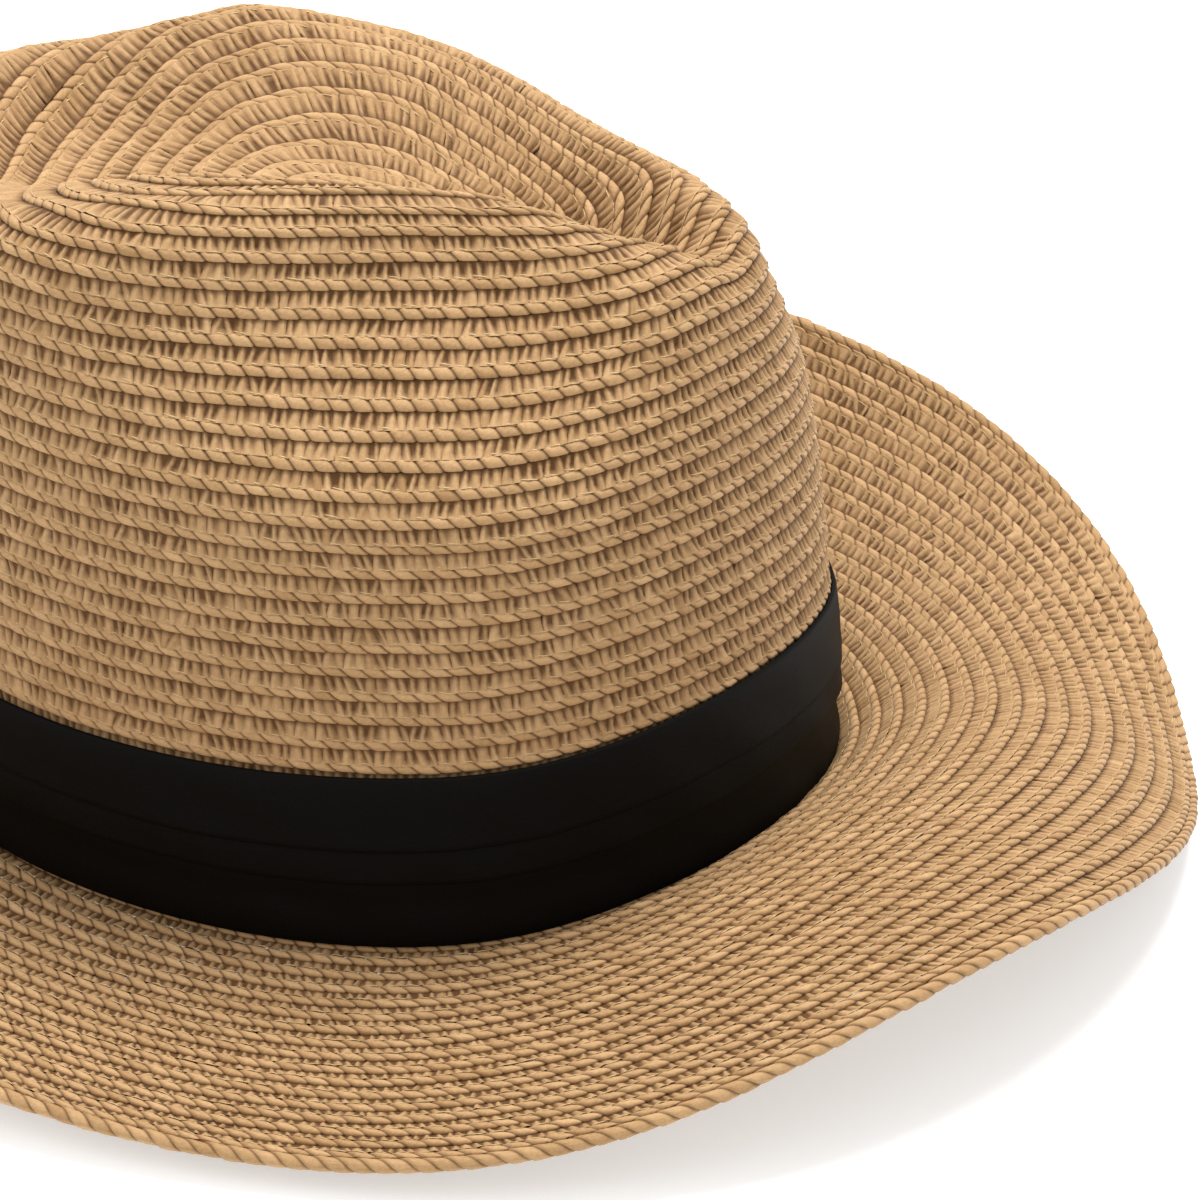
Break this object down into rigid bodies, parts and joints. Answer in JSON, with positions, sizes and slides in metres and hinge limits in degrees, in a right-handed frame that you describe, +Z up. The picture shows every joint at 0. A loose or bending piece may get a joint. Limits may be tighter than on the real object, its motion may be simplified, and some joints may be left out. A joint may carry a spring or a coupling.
{
  "type": "sun hat",
  "caption": "Wide-brimmed sewn straw hat with a creased, front-pinched crown, a pleated black ribbon, a wired brim edge and an inner sweatband.",
  "frame": {"origin": "on the floor under the middle of the hat's bounding box; the brim stands on z = 0", "axes": "+Z up, the front of the hat looks along -Y, the wearer's left is +X"},
  "size_m": [0.3232, 0.3535, 0.141],
  "materials": {
    "straw": "matt sewn paper straw",
    "wire": "drawn",
    "sleeve": "crimped",
    "sweatband": "ribbed cotton band",
    "thread": "twisted",
    "label": "plain woven tab",
    "ribbon": "matt pleated polyester",
    "black_thread": "twisted"
  },
  "bodies": {
    "root": {"crown_tip": "straw", "crown_crease": "straw", "crown_side": "straw", "start_button": "straw", "brim": "straw", "brim_edge_row": "straw", "brim_wire": "wire", "wire_joiner": "sleeve", "sweatband": "sweatband", "sweatband_seam_tape": "sweatband", "sweatband_stitching": "thread", "size_label": "label", "ribbon_backing": "ribbon", "ribbon_lower_fold": "ribbon", "ribbon_middle_fold": "ribbon", "ribbon_upper_fold": "ribbon", "ribbon_wrap": "ribbon", "ribbon_tack_stitches": "black_thread"}
  },
  "joints": []
}
